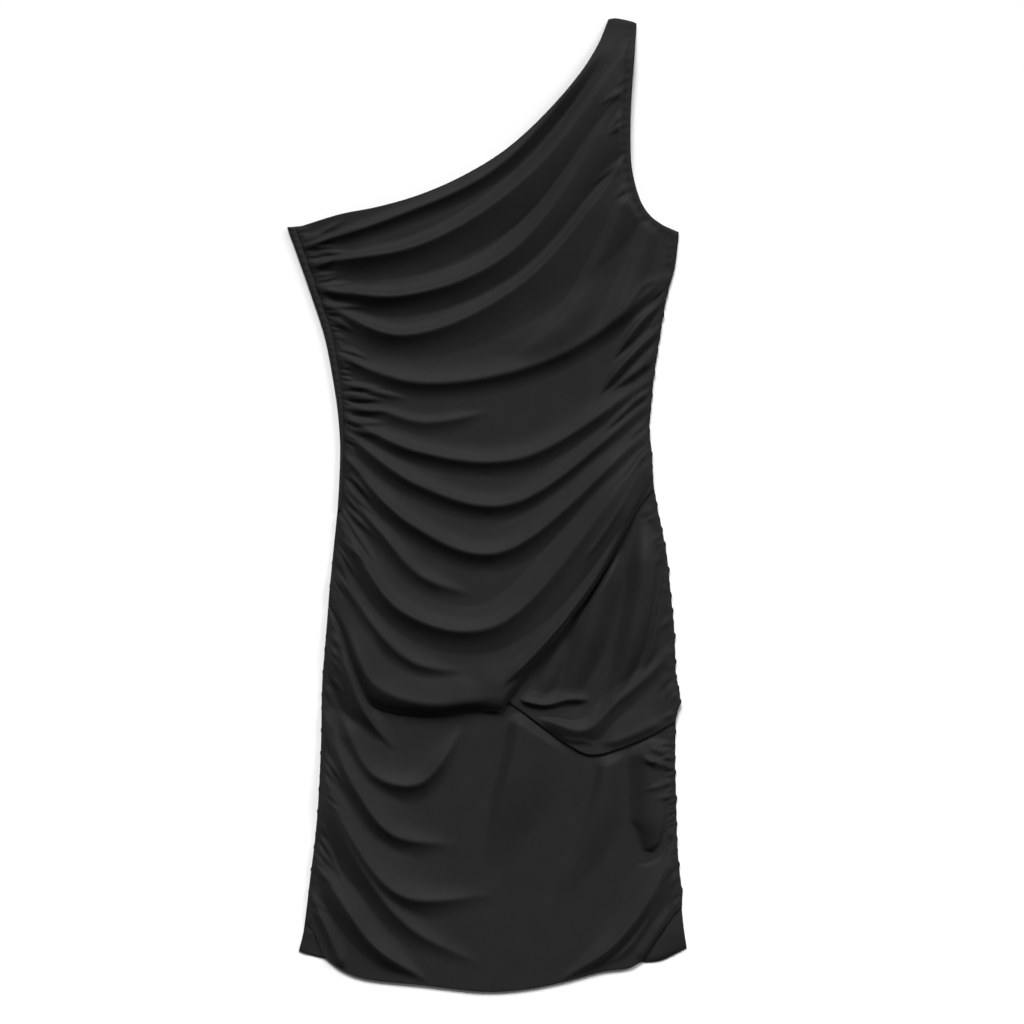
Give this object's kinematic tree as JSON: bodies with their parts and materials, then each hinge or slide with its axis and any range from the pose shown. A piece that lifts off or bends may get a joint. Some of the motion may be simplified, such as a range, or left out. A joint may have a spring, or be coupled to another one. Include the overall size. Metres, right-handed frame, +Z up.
{
  "type": "one-shoulder dress",
  "caption": "Short one-shoulder dress of black gathered stretch cloth, with a draped front and a rolled hip drape, laid flat.",
  "frame": {"origin": "middle of the box round the dress, on the surface that it lies on", "axes": "+X to the right of the dress as it is seen from above, +Y from the hem up to the shoulder, +Z up from the surface to the front of the dress"},
  "size_m": [0.376, 0.918, 0.0124],
  "materials": {
    "crepe": "matte black stretch crepe jersey with a faint sheen"
  },
  "bodies": {
    "root": {"back": "crepe", "side_band": "crepe", "skirt_front": "crepe", "hip_drape": "crepe", "front_drape": "crepe"}
  },
  "joints": []
}
